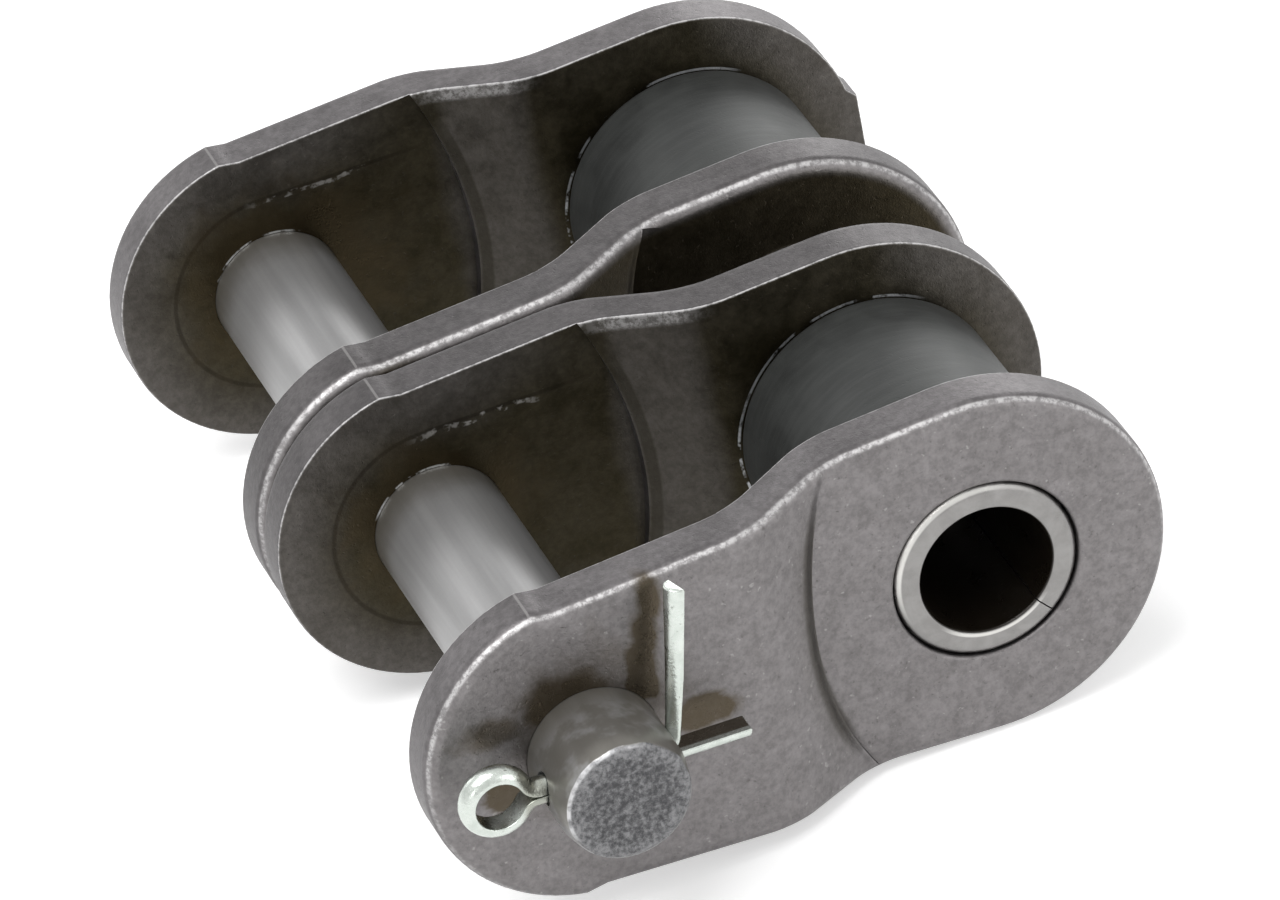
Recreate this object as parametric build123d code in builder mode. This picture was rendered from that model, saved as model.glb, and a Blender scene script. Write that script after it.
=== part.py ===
from build123d import *
import os
from math import asin, atan2, cos, degrees, radians, sin, sqrt, tan

# Cranked (offset) link of a two-strand roller chain, in millimetres.
# X runs along the pitch line from the pin to the bushes, Y runs along the pin,
# and Z is up. The origin is on the pin's axis, midway between the two strands.

# Chain sizes
pitch = 25.4
strand_pitch = 29.29
wide_gap = 22.7
narrow_gap = 15.75
plate_thickness = 3.15
pin_diameter = 7.94
bush_diameter = 11.3
bush_bore = 8.0
roller_diameter = 15.88
crank_offset = (wide_gap - narrow_gap) / 2
plate_depth = plate_thickness + crank_offset

# Outline of a plate: a round pin end, two slightly spreading edges and a larger bush end.
# A short shoulder marks where the two strokes of the blanking tool met.
pin_end_radius = 9.9
bush_end_radius = 11.1
edge_angle = 3.6
shoulder_x = -2.0
shoulder_length = 1.5
tab_width = 4.2
tab_height = 0.3

# Crank of a plate: a straight slope, coined back to an arc on each side so that the
# rounded ends of the neighbouring plates clear it
crank_x = 10.9
slope_angle = 30
crest_radius = 4.0
inner_coin_x = 12.45
inner_coin_radius = 26.0
outer_coin_x = 14.45
outer_coin_radius = 21.5
rolled_edge = 0.35
pin_hole_diameter = 8.0
hole_chamfer = 0.3

# Pin and split pin
pin_front_length = 5.95
pin_back_length = 1.9
pin_end_chamfer = 0.5
cross_hole_setback = 2.65
cross_hole_diameter = 2.0
wire_width = 1.6
leg_gap = 0.06
eye_radius = 1.45
eye_x = -6.75
neck_radius = 1.2
bend_x = 3.6
bend_radius = 1.2
cross_hole_turn = 7.0
long_leg_lean = 3.6
long_leg_length = 8.6
short_leg_end_x = 8.1

# Bushes and rollers
roller_side_clearance = 0.12
roller_bore_clearance = 0.07
roller_chamfer = 0.55
bush_chamfer = 0.4
bush_seam_width = 0.2
bush_seam_angle = 50

half_link = (strand_pitch + wide_gap) / 2 + plate_thickness


def facing_plane(y, direction):
    """Upright plane at y whose local x runs along the pitch line and local z along direction."""
    return Plane(origin=(0, y, 0), x_dir=(1, 0, 0), z_dir=(0, direction, 0))


def rim_of(faces):
    """Edges round the outside of a patch of joined faces."""
    edges = [edge for face in faces for edge in face.edges()]
    return ShapeList(edge for edge in edges if sum(edge.is_same(other) for other in edges) == 1)


def crank_plate(label, outer_y, inward):
    """Side plate with its pin-end outer face at outer_y, cranked inward at the bush end."""
    outer_plane = facing_plane(outer_y, inward)
    inward_axis = outer_plane.z_dir
    crank_end_x = crank_x + crank_offset / tan(radians(slope_angle))
    lean = radians(edge_angle)
    tangent_point = (pitch - bush_end_radius * sin(lean), bush_end_radius * cos(lean))
    shoulder = (shoulder_x, sqrt(pin_end_radius**2 - shoulder_x**2))
    edge_x = shoulder_x + shoulder_length
    edge_start = (edge_x, tangent_point[1] - (tangent_point[0] - edge_x) * tan(lean))

    with BuildPart() as plate:
        # The crank, seen from above: a bent strip with rounded crests
        with BuildSketch(Plane(origin=(0, outer_y, 0), x_dir=(1, 0, 0), z_dir=(0, 0, inward))):
            with BuildLine():
                Polyline(
                    (-pitch, 0),
                    (crank_x, 0),
                    (crank_end_x, crank_offset),
                    (2 * pitch, crank_offset),
                    (2 * pitch, plate_depth),
                    (crank_end_x, plate_depth),
                    (crank_x, plate_thickness),
                    (-pitch, plate_thickness),
                    close=True,
                )
            strip = make_face()
            bends = strip.vertices().filter_by(lambda vertex: 0 < vertex.X < pitch).sort_by(Axis.X)
            crests = [bends[:2].sort_by(Axis.Y)[0], bends[2:].sort_by(Axis.Y)[-1]]
            fillet(crests, radius=crest_radius)
        extrude(amount=pitch, both=True)

        # The blanked outline
        with BuildSketch(outer_plane):
            with BuildLine():
                RadiusArc((-pin_end_radius, 0), shoulder, pin_end_radius)
                Polyline(shoulder, edge_start, tangent_point)
                RadiusArc(tangent_point, (pitch + bush_end_radius, 0), bush_end_radius)
                mirror(about=Plane.XZ)
            make_face()
        extrude(amount=plate_depth, mode=Mode.INTERSECT)

        # Blanking rolls the rim over on the outer side
        outer_faces = plate.faces().filter_by(lambda face: face.normal_at().dot(inward_axis) < -0.3)
        chamfer(rim_of(outer_faces), length=rolled_edge)

        # Stub left where the blank was parted from the strip
        with BuildSketch(outer_plane.offset(crank_offset + rolled_edge)):
            with Locations((pitch + bush_end_radius, 0)):
                Rectangle(2 * tab_height, tab_width)
        extrude(amount=plate_thickness - rolled_edge)

        # Coined arcs
        with BuildSketch(outer_plane.offset(plate_thickness)):
            with Locations((inner_coin_x - inner_coin_radius, 0)):
                Circle(inner_coin_radius)
        extrude(amount=crank_offset, mode=Mode.SUBTRACT)
        with BuildSketch(outer_plane):
            with Locations((outer_coin_x + outer_coin_radius, 0)):
                Circle(outer_coin_radius)
        extrude(amount=crank_offset, mode=Mode.SUBTRACT)

        with BuildSketch(outer_plane):
            Circle(pin_hole_diameter / 2)
            with Locations((pitch, 0)):
                Circle(bush_diameter / 2)
        extrude(amount=plate_depth, mode=Mode.SUBTRACT)
        bush_seats = plate.edges().filter_by(GeomType.CIRCLE).filter_by(
            lambda edge: abs(edge.radius - bush_diameter / 2) < 0.01
        )
        chamfer(bush_seats, length=hole_chamfer)

    plate.part.label = label
    return plate.part


def bush(label, strand_y):
    """Curled bush whose ends are flush with the plates of its strand."""
    length = narrow_gap + 2 * plate_thickness
    half_seam = bush_seam_width / 2
    outside, bore = bush_diameter / 2, bush_bore / 2
    with BuildPart() as curled:
        with BuildSketch(facing_plane(strand_y - length / 2, 1)):
            with BuildLine():
                seam_outside = degrees(asin(half_seam / outside))
                seam_inside = degrees(asin(half_seam / bore))
                start = bush_seam_angle + seam_outside
                wall = CenterArc((pitch, 0), outside, start, 360 - 2 * seam_outside)
                start = bush_seam_angle + seam_inside
                lining = CenterArc((pitch, 0), bore, start, 360 - 2 * seam_inside)
                Line(wall @ 0, lining @ 0)
                Line(wall @ 1, lining @ 1)
            make_face()
        extrude(amount=length)
        rims = curled.edges().filter_by(GeomType.CIRCLE).filter_by(lambda edge: edge.radius > bore + 0.5)
        chamfer(rims, length=bush_chamfer)
    curled.part.label = label
    return curled.part


def roller(label, strand_y):
    """Solid roller that turns freely on the bush of its strand."""
    length = narrow_gap - 2 * roller_side_clearance
    with BuildPart() as ring:
        with BuildSketch(facing_plane(strand_y, 1)):
            with Locations((pitch, 0)):
                Circle(roller_diameter / 2)
                Circle(bush_diameter / 2 + roller_bore_clearance, mode=Mode.SUBTRACT)
        extrude(amount=length / 2, both=True)
        rims = ring.edges().filter_by(GeomType.CIRCLE)
        chamfer(rims.filter_by(lambda edge: edge.radius > roller_diameter / 2 - 0.1), length=roller_chamfer)
    ring.part.label = label
    return ring.part


# Pin through both strands, with a cross hole for the split pin
cross_hole_y = -half_link - cross_hole_setback
wire_direction = (cos(radians(cross_hole_turn)), 0, -sin(radians(cross_hole_turn)))
with BuildPart() as connecting_pin:
    with BuildSketch(facing_plane(-half_link - pin_front_length, 1)):
        Circle(pin_diameter / 2)
    extrude(amount=pin_front_length + 2 * half_link + pin_back_length)
    chamfer(connecting_pin.edges().filter_by(GeomType.CIRCLE), length=pin_end_chamfer)
    with BuildSketch(Plane(origin=(0, cross_hole_y, 0), x_dir=(0, 1, 0), z_dir=wire_direction)):
        Circle(cross_hole_diameter / 2)
    extrude(amount=pin_diameter, both=True, mode=Mode.SUBTRACT)
connecting_pin.part.label = "connecting_pin"

# Split pin of half-round wire: eye on the left, short leg straight, long leg bent up
neck_height = neck_radius + leg_gap / 2
neck_offset = sqrt((eye_radius + neck_radius) ** 2 - neck_height**2)
neck_x = eye_x + neck_offset
neck_turn = 90 - degrees(atan2(neck_height, neck_offset))
eye_turn = 180 + 2 * neck_turn
with BuildPart() as split_pin:
    with BuildLine(Plane(origin=(0, cross_hole_y, 0), x_dir=wire_direction, z_dir=(0, -1, 0))) as wire:
        short_leg = Line((short_leg_end_x, -leg_gap / 2), (neck_x, -leg_gap / 2))
        lower_neck = JernArc(short_leg @ 1, short_leg % 1, neck_radius, neck_turn)
        eye = JernArc(lower_neck @ 1, lower_neck % 1, eye_radius, -eye_turn)
        upper_neck = JernArc(eye @ 1, eye % 1, neck_radius, neck_turn)
        shank = Line(upper_neck @ 1, (bend_x, leg_gap / 2))
        bend = JernArc(shank @ 1, shank % 1, bend_radius, 90 - long_leg_lean)
        long_leg = Line(bend @ 1, bend @ 1 + (bend % 1) * long_leg_length)
    with BuildSketch(Plane(origin=short_leg @ 0, x_dir=(0, 1, 0), z_dir=short_leg % 0)):
        Circle(wire_width / 2)
        with Locations((0, -wire_width / 2)):
            Rectangle(wire_width, wire_width, mode=Mode.SUBTRACT)
    sweep(path=wire.wires()[0])
split_pin.part.label = "split_pin"

pieces = [connecting_pin.part, split_pin.part]
for strand, side in (("front", -1), ("back", 1)):
    strand_y = side * strand_pitch / 2
    front_face = strand_y - wide_gap / 2 - plate_thickness
    back_face = strand_y + wide_gap / 2 + plate_thickness
    outermost = "outer_plate_" + strand
    innermost = "inner_plate_" + strand
    front_name, back_name = (outermost, innermost) if side < 0 else (innermost, outermost)
    pieces.append(crank_plate(front_name, front_face, 1))
    pieces.append(crank_plate(back_name, back_face, -1))
    pieces.append(bush("bush_" + strand, strand_y))
    pieces.append(roller("roller_" + strand, strand_y))

os.makedirs("parts", exist_ok=True)
for piece in pieces:
    export_step(piece, "parts/" + piece.label + ".step")
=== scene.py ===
from math import cos, radians, sin

import bmesh
import bpy
from mathutils import Matrix, Vector


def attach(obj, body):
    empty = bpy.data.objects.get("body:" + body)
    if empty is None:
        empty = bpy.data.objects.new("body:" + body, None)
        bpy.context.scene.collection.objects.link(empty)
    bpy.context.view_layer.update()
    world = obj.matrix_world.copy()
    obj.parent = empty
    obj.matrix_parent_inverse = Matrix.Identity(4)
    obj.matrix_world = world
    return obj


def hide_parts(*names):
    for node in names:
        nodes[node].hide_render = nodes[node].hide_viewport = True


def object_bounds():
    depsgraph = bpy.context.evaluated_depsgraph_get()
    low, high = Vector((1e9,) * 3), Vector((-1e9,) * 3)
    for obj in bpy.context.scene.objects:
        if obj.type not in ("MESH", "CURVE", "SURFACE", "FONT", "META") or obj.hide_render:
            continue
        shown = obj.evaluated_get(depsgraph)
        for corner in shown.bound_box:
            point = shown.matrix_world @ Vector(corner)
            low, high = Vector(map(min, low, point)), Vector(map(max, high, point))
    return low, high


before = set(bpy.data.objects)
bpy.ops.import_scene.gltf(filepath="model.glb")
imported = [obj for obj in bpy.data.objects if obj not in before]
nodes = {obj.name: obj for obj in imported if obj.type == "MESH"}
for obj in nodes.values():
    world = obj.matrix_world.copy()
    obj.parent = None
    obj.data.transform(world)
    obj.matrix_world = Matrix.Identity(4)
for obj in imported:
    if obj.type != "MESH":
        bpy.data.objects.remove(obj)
cad_low, cad_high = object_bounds()
scene = bpy.context.scene

# ---- sizes of the link, in metres; X runs along the pitch, Y along the pin, Z up ----
MM = 0.001
PITCH = 25.4 * MM
HALF_LINK = 29.145 * MM
MIDDLE_PLATE_FACE = 0.145 * MM

# Outline of a plate
PLATE_THICKNESS = 3.15 * MM
PIN_END_RADIUS = 9.9 * MM
BUSH_END_RADIUS = 11.1 * MM
EDGE_SPREAD = 0.0628
SHOULDER_X = -2.0 * MM
TAB_END_X = 36.8 * MM
TAB_HALF_WIDTH = 2.2 * MM
TABBED_PLATE = "outer_plate_back"

# Crank of a plate and the two arcs coined into it
CRANK_X = 10.9 * MM
CRANK_END_X = 16.919 * MM
CRANK_OFFSET = 3.475 * MM
BEND_WIDTH = 1.6 * MM
INNER_COIN_X = -13.55 * MM
INNER_COIN_RADIUS = 26.0 * MM
OUTER_COIN_X = 35.95 * MM
OUTER_COIN_RADIUS = 21.5 * MM

# Rims and holes of a plate
ROLLED_RIM = 0.85 * MM
INNER_RIM = 0.17 * MM
SEAT_RIM = 0.3 * MM
PIN_HOLE_RADIUS = 4.0 * MM

# Bushes, rollers and split pin
BUSH_RADIUS = 5.65 * MM
BUSH_BORE_RADIUS = 4.0 * MM
SEAM_ANGLE = radians(50.0)
ROLLER_RADIUS = 7.94 * MM
LEG_Y = -31.795 * MM

# Angles that tell edges apart, in radians
SHARP_ANGLE = 0.5
CHAMFER_ANGLES = (radians(30), radians(60))
CORNER_ANGLE = radians(70)
SHADING_ANGLE = radians(32.0)

# ---- colours of steel, scale, oil and dirt ----
OUTER_GREY = ((0.166, 0.157, 0.157, 1), (0.216, 0.205, 0.206, 1))
WALL_GREY = ((0.118, 0.111, 0.113, 1), (0.165, 0.156, 0.159, 1))
# Inner face: oil and painted shade between the plates in the centre, a paler border
INNER_CENTRE_OIL_AND_SHADE = ((0.028, 0.023, 0.011, 1), (0.050, 0.042, 0.025, 1))
INNER_BORDER_BROWN = ((0.078, 0.071, 0.063, 1), (0.118, 0.109, 0.100, 1))
# Old oil and painted shade on a sheltered plate's outer side, and painted shade on its wall
SHELTERED_OIL_AND_SHADE = (0.042, 0.033, 0.016, 1)
SHELTERED_WALL_SHADE = (0.03, 0.028, 0.027, 1)
PALE_SPECK = (0.42, 0.41, 0.40, 1)
# Dirt and painted shade at the coined arcs, and a wider band of painted shade next to the lip
ARC_DIRT_AND_SHADE = (0.028, 0.024, 0.015, 1)
ARC_PAINTED_SHADE = (0.075, 0.068, 0.060, 1)
# Rubbed metal and painted highlight along the rims
RUBBED_RIM_AND_HIGHLIGHT = (0.62, 0.61, 0.61, 1)
WITNESS_LINE = (0.5, 0.49, 0.48, 1)
RUB_RING = (0.012, 0.009, 0.005, 1)
RUB_SCRATCH = (0.42, 0.41, 0.39, 1)
PLATE_PIT = (0.05, 0.045, 0.04, 1)
PLATE_OIL = (0.058, 0.043, 0.022, 1)
# Painted highlight on oil round the rollers and the pins
PAINTED_GLINT_WHITE = (0.8, 0.82, 0.84, 1)
PIN_GREY = ((0.30, 0.298, 0.299, 1), (0.37, 0.368, 0.369, 1))
PIN_GRAIN = (0.2, 0.195, 0.19, 1)
PIN_OIL = (0.105, 0.094, 0.070, 1)
PIN_END_GREY = ((0.060, 0.060, 0.063, 1), (0.25, 0.25, 0.255, 1))
# Painted highlight on the upper corner of the pin's end
PIN_CORNER_HIGHLIGHT = (0.72, 0.72, 0.73, 1)
BUSH_GREY = ((0.225, 0.219, 0.213, 1), (0.285, 0.279, 0.272, 1))
# Painted highlight on the bush's rounded corners
BUSH_CORNER_HIGHLIGHT = (0.72, 0.71, 0.68, 1)
BUSH_DIRT = (0.055, 0.048, 0.042, 1)
BORE_OIL = (0.012, 0.009, 0.006, 1)
ROLLER_SKIN = ((0.038, 0.040, 0.039, 1), (0.054, 0.057, 0.055, 1))
ROLLER_BRUSHED = (0.095, 0.098, 0.096, 1)
ROLLER_RIM = (0.02, 0.02, 0.02, 1)
ZINC = ((0.50, 0.54, 0.50, 1), (0.63, 0.67, 0.63, 1))
ZINC_PIT = (0.15, 0.15, 0.12, 1)
# Painted reflection of the brown plate on the flat side of the straight leg
LEG_PAINTED_REFLECTION = (0.088, 0.062, 0.036, 1)
NECK_STAIN = (0.13, 0.115, 0.07, 1)
FLOOR_WHITE = (0.93, 0.93, 0.93, 1)
SKY_WHITE = (1, 1, 1, 1)


# ---- small helpers for node trees ----
def new_material(name):
    material = bpy.data.materials.new(name)
    material.use_nodes = True
    material.node_tree.nodes.clear()
    return material


class Tree:
    """A node tree with short calls for the nodes that the finishes use."""

    def __init__(self, tree):
        self.tree = tree

    def add(self, kind, **settings):
        node = self.tree.nodes.new(kind)
        for key, value in settings.items():
            setattr(node, key, value)
        return node

    def link(self, value, socket):
        """Joins a socket to another one, or sets it where the value is a plain number or colour."""
        if isinstance(value, bpy.types.NodeSocket):
            self.tree.links.new(value, socket)
        else:
            socket.default_value = value

    def math(self, operation, *values, clamp=False):
        node = self.add("ShaderNodeMath", operation=operation, use_clamp=clamp)
        for value, socket in zip(values, node.inputs):
            self.link(value, socket)
        return node.outputs[0]

    def times(self, first, second, clamp=False):
        return self.math("MULTIPLY", first, second, clamp=clamp)

    def plus(self, first, second, clamp=False):
        return self.math("ADD", first, second, clamp=clamp)

    def minus(self, first, second, clamp=False):
        return self.math("SUBTRACT", first, second, clamp=clamp)

    def scaled(self, value, factor, start):
        """The start, plus the value times the factor."""
        return self.math("MULTIPLY_ADD", value, factor, start)

    def larger(self, first, second):
        return self.math("MAXIMUM", first, second)

    def size(self, value):
        return self.math("ABSOLUTE", value)

    def vector(self, operation, *values):
        node = self.add("ShaderNodeVectorMath", operation=operation)
        for value, socket in zip(values, node.inputs):
            self.link(value, socket)
        return node.outputs["Value" if operation == "LENGTH" else "Vector"]

    def length(self, vector):
        return self.vector("LENGTH", vector)

    def split(self, vector):
        node = self.add("ShaderNodeSeparateXYZ")
        self.link(vector, node.inputs[0])
        return node.outputs

    def join(self, x, y, z):
        node = self.add("ShaderNodeCombineXYZ")
        for value, socket in zip((x, y, z), node.inputs):
            self.link(value, socket)
        return node.outputs[0]

    def place(self):
        return self.add("ShaderNodeTexCoord").outputs["Object"]

    def facing(self):
        return self.add("ShaderNodeNewGeometry").outputs["Normal"]

    def from_axis(self, x, z, axis_x):
        """Distance from an axis that runs along Y at axis_x."""
        return self.length(self.join(self.minus(x, axis_x), 0.0, z))

    def stretch(self, vector, scale):
        node = self.add("ShaderNodeMapping")
        self.link(vector, node.inputs["Vector"])
        node.inputs["Scale"].default_value = scale
        return node.outputs[0]

    def noise(self, vector, scale, detail=4.0, roughness=0.55, distortion=0.0):
        node = self.add("ShaderNodeTexNoise")
        self.link(vector, node.inputs["Vector"])
        self.link(scale, node.inputs["Scale"])
        node.inputs["Detail"].default_value = detail
        node.inputs["Roughness"].default_value = roughness
        node.inputs["Distortion"].default_value = distortion
        return node.outputs["Fac"]

    def ramp(self, value, low, high, from_value=0.0, to_value=1.0):
        """Smooth step from from_value at low to to_value at high."""
        node = self.add("ShaderNodeMapRange", clamp=True)
        node.interpolation_type = "SMOOTHSTEP"
        for item, socket in zip((value, low, high, from_value, to_value), node.inputs):
            self.link(item, socket)
        return node.outputs[0]

    def band(self, value, middle, half_width, soft):
        """1 within half_width of the middle, fading to 0 over the soft margin."""
        off = self.size(self.minus(value, middle))
        return self.ramp(off, half_width, half_width + soft, 1.0, 0.0)

    def mix(self, share, first, second, blend="MIX"):
        node = self.add("ShaderNodeMix", data_type="RGBA", blend_type=blend)
        self.link(share, node.inputs[0])
        self.link(first, node.inputs[6])
        self.link(second, node.inputs[7])
        return node.outputs[2]

    def blend_in(self, mask, strength, colour, added):
        """The colour with some of an added one, by a mask and a strength."""
        return self.mix(self.times(mask, strength), colour, added)

    def group(self, group, values):
        node = self.add("ShaderNodeGroup", node_tree=group)
        for label, value in values.items():
            self.link(value, node.inputs[label])
        return node.outputs


def new_group(name, inputs, outputs):
    """A shader group with named inputs (float with a default, or a vector) and outputs."""
    group = bpy.data.node_groups.new(name, "ShaderNodeTree")
    for label, default in inputs:
        kind = "NodeSocketVector" if default is None else "NodeSocketFloat"
        socket = group.interface.new_socket(label, in_out="INPUT", socket_type=kind)
        if default is not None:
            socket.default_value = default
    for label in outputs:
        group.interface.new_socket(label, in_out="OUTPUT", socket_type="NodeSocketFloat")
    tree = Tree(group)
    source = tree.add("NodeGroupInput").outputs
    sink = tree.add("NodeGroupOutput").inputs
    return group, tree, source, sink


# ---- effects shared by several finishes ----
def make_steel_grain():
    """Mottled scale and a fine pitted grain, as on tumbled and heat-treated steel."""
    group, tree, source, sink = new_group(
        "steel grain",
        (("Place", None), ("Mottle size", 420.0), ("Grain size", 5200.0)),
        ("Mottle", "Pits", "Height"),
    )
    place = source["Place"]
    mottle = tree.noise(place, source["Mottle size"], detail=6.0, roughness=0.62, distortion=0.4)
    grain = tree.noise(place, source["Grain size"], detail=3.0, roughness=0.6)
    pit_noise = tree.noise(place, tree.times(source["Grain size"], 0.45), detail=2.0)
    pits = tree.ramp(pit_noise, 0.64, 0.76)
    bumps = tree.scaled(grain, 0.6, tree.times(mottle, 0.35))
    tree.link(tree.ramp(mottle, 0.3, 0.7), sink["Mottle"])
    tree.link(pits, sink["Pits"])
    tree.link(tree.minus(bumps, tree.times(pits, 0.5)), sink["Height"])
    return group


def make_plate_rim():
    """How deep a point of a plate lies inside its outline, in metres, seen along Y."""
    group, tree, source, sink = new_group("plate rim depth", (("Place", None),), ("Depth",))
    place = tree.split(source["Place"])
    x = place["X"]
    z = place["Z"]
    flat = tree.join(x, 0.0, z)
    to_pin = tree.length(flat)
    to_bush = tree.length(tree.vector("SUBTRACT", flat, (PITCH, 0.0, 0.0)))
    pin_depth = tree.minus(PIN_END_RADIUS, to_pin)
    bush_depth = tree.minus(BUSH_END_RADIUS, to_bush)
    along = tree.times(tree.minus(x, PITCH), EDGE_SPREAD)
    edge_depth = tree.minus(tree.plus(BUSH_END_RADIUS, along), tree.size(z))

    # The straight edges count only between the two round ends
    outside = -0.02
    before = tree.ramp(x, -2.6 * MM, -1.9 * MM, outside, 0.0)
    after = tree.ramp(x, 24.4 * MM, 25.2 * MM, 0.0, outside)
    edge_depth = tree.plus(edge_depth, tree.plus(before, after))
    tree.link(tree.larger(tree.larger(pin_depth, bush_depth), edge_depth), sink["Depth"])
    return group


def make_arc_line():
    """Distance of a point outside an upright circle, in metres, seen along Y."""
    group, tree, source, sink = new_group(
        "distance past an arc",
        (("Place", None), ("Centre X", 0.0), ("Radius", 0.01)),
        ("Past",),
    )
    place = tree.split(source["Place"])
    from_centre = tree.from_axis(place["X"], place["Z"], source["Centre X"])
    tree.link(tree.minus(from_centre, source["Radius"]), sink["Past"])
    return group


def make_oil_film():
    """Share of a thin brown oil film that gathers round a place and breaks up in patches."""
    group, tree, source, sink = new_group(
        "oil film",
        (
            ("Place", None),
            ("Centre", None),
            ("Reach", None),
            ("Patches", 330.0),
            ("Break-up", 0.5),
        ),
        ("Film",),
    )
    place = source["Place"]
    off = tree.vector("SUBTRACT", place, source["Centre"])
    near = tree.minus(1.0, tree.length(tree.vector("DIVIDE", off, source["Reach"])), clamp=True)
    patches = tree.noise(place, source["Patches"], detail=5.0, roughness=0.6, distortion=0.8)
    broken = tree.times(tree.minus(patches, 0.5), source["Break-up"])
    film = tree.ramp(tree.plus(near, tree.times(broken, 2.0)), 0.15, 0.7)
    tree.link(tree.times(film, tree.ramp(near, 0.0, 0.12)), sink["Film"])
    return group


STEEL_GRAIN = make_steel_grain()
PLATE_RIM = make_plate_rim()
ARC_LINE = make_arc_line()
OIL_FILM = make_oil_film()


def steel_grain(tree, place, mottle_size, grain_size):
    values = {"Place": place, "Mottle size": mottle_size, "Grain size": grain_size}
    return tree.group(STEEL_GRAIN, values)


def finish_shader(tree, colour, roughness, height, bump_depth, metallic=1.0):
    """Principled shader with a bump, joined to the material's output."""
    shader = tree.add("ShaderNodeBsdfPrincipled")
    bump = tree.add("ShaderNodeBump")
    bump.inputs["Distance"].default_value = bump_depth
    tree.link(height, bump.inputs["Height"])
    tree.link(colour, shader.inputs["Base Color"])
    tree.link(metallic, shader.inputs["Metallic"])
    tree.link(roughness, shader.inputs["Roughness"])
    tree.link(bump.outputs["Normal"], shader.inputs["Normal"])
    output = tree.add("ShaderNodeOutputMaterial")
    tree.link(shader.outputs["BSDF"], output.inputs["Surface"])


# ---- finish of the plates ----
class PlatePoint:
    """Where a point of a plate lies and which way it faces, for the steps of the plate finish."""

    def __init__(self, tree, outer_side):
        self.place = tree.place()
        place = tree.split(self.place)
        self.x = place["X"]
        self.z = place["Z"]
        self.depth = tree.group(PLATE_RIM, {"Place": self.place})["Depth"]
        facing = tree.split(tree.facing())
        self.facing_z = facing["Z"]
        self.outward = tree.times(facing["Y"], float(outer_side))
        self.outer = tree.ramp(self.outward, 0.2, 0.8)
        self.inner = tree.ramp(self.outward, -0.2, -0.8)
        self.past_outer_arc = self.past_arc(tree, OUTER_COIN_X, OUTER_COIN_RADIUS)
        self.past_inner_arc = self.past_arc(tree, INNER_COIN_X, INNER_COIN_RADIUS)

    def past_arc(self, tree, centre_x, radius):
        values = {"Place": self.place, "Centre X": centre_x, "Radius": radius}
        return tree.group(ARC_LINE, values)["Past"]


def plate_steel(tree, at, mottle, fine, sheltered):
    """Grey outer face and wall, brown inner face with oil and painted shade in its centre and a
    paler border, and pale specks.
    """
    outer_grey = tree.mix(mottle, *OUTER_GREY)
    wall_grey = tree.mix(mottle, *WALL_GREY)
    # The inner centre is darkened with oil and with painted shade between the plates
    inner_centre = tree.mix(mottle, *INNER_CENTRE_OIL_AND_SHADE)
    inner_border = tree.mix(mottle, *INNER_BORDER_BROWN)
    # A sheltered plate: old oil and painted shade darken the outer face away from the rim, painted
    # shade darkens the wall
    if sheltered:
        oil_and_shade_inside = tree.ramp(at.depth, 0.3 * MM, 1.15 * MM)
        outer_grey = tree.blend_in(oil_and_shade_inside, 0.93, outer_grey, SHELTERED_OIL_AND_SHADE)
        wall_grey = tree.mix(0.35, wall_grey, SHELTERED_WALL_SHADE)

    # The border is wide at both ends of the plate and crosses it on the slope of the crank
    clouds = tree.noise(at.place, 130.0, detail=4.0, roughness=0.55)
    ragged_depth = tree.scaled(clouds, 5.0 * MM, at.depth)
    border = tree.ramp(ragged_depth, 2.6 * MM, 7.5 * MM, 1.0, 0.0)
    at_pin_end = tree.ramp(at.x, 2.0 * MM, 12.0 * MM, 1.0, 0.0)
    at_bush_end = tree.ramp(at.x, 26.0 * MM, 31.0 * MM)
    border = tree.times(border, tree.larger(tree.plus(at_pin_end, at_bush_end), 0.15))
    ragged_x = tree.scaled(clouds, 2.0 * MM, at.x)
    on_slope = tree.band(ragged_x, 15.2 * MM, 1.6 * MM, 1.6 * MM)
    border = tree.larger(border, tree.times(on_slope, 0.75))
    inner_brown = tree.mix(border, inner_centre, inner_border)

    colour = tree.mix(at.outer, wall_grey, outer_grey)
    colour = tree.mix(at.inner, colour, inner_brown)
    colour = tree.mix(1.0, colour, tree.ramp(fine, 0.3, 0.7, 0.84, 1.16), "MULTIPLY")
    speck_noise = tree.noise(at.place, 2300.0, detail=2.0)
    pale_specks = tree.times(tree.ramp(speck_noise, 0.66, 0.74), at.outer)
    if sheltered:
        pale_specks = tree.times(pale_specks, tree.minus(1.0, oil_and_shade_inside))
    return tree.blend_in(pale_specks, 0.4, colour, PALE_SPECK)


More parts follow.
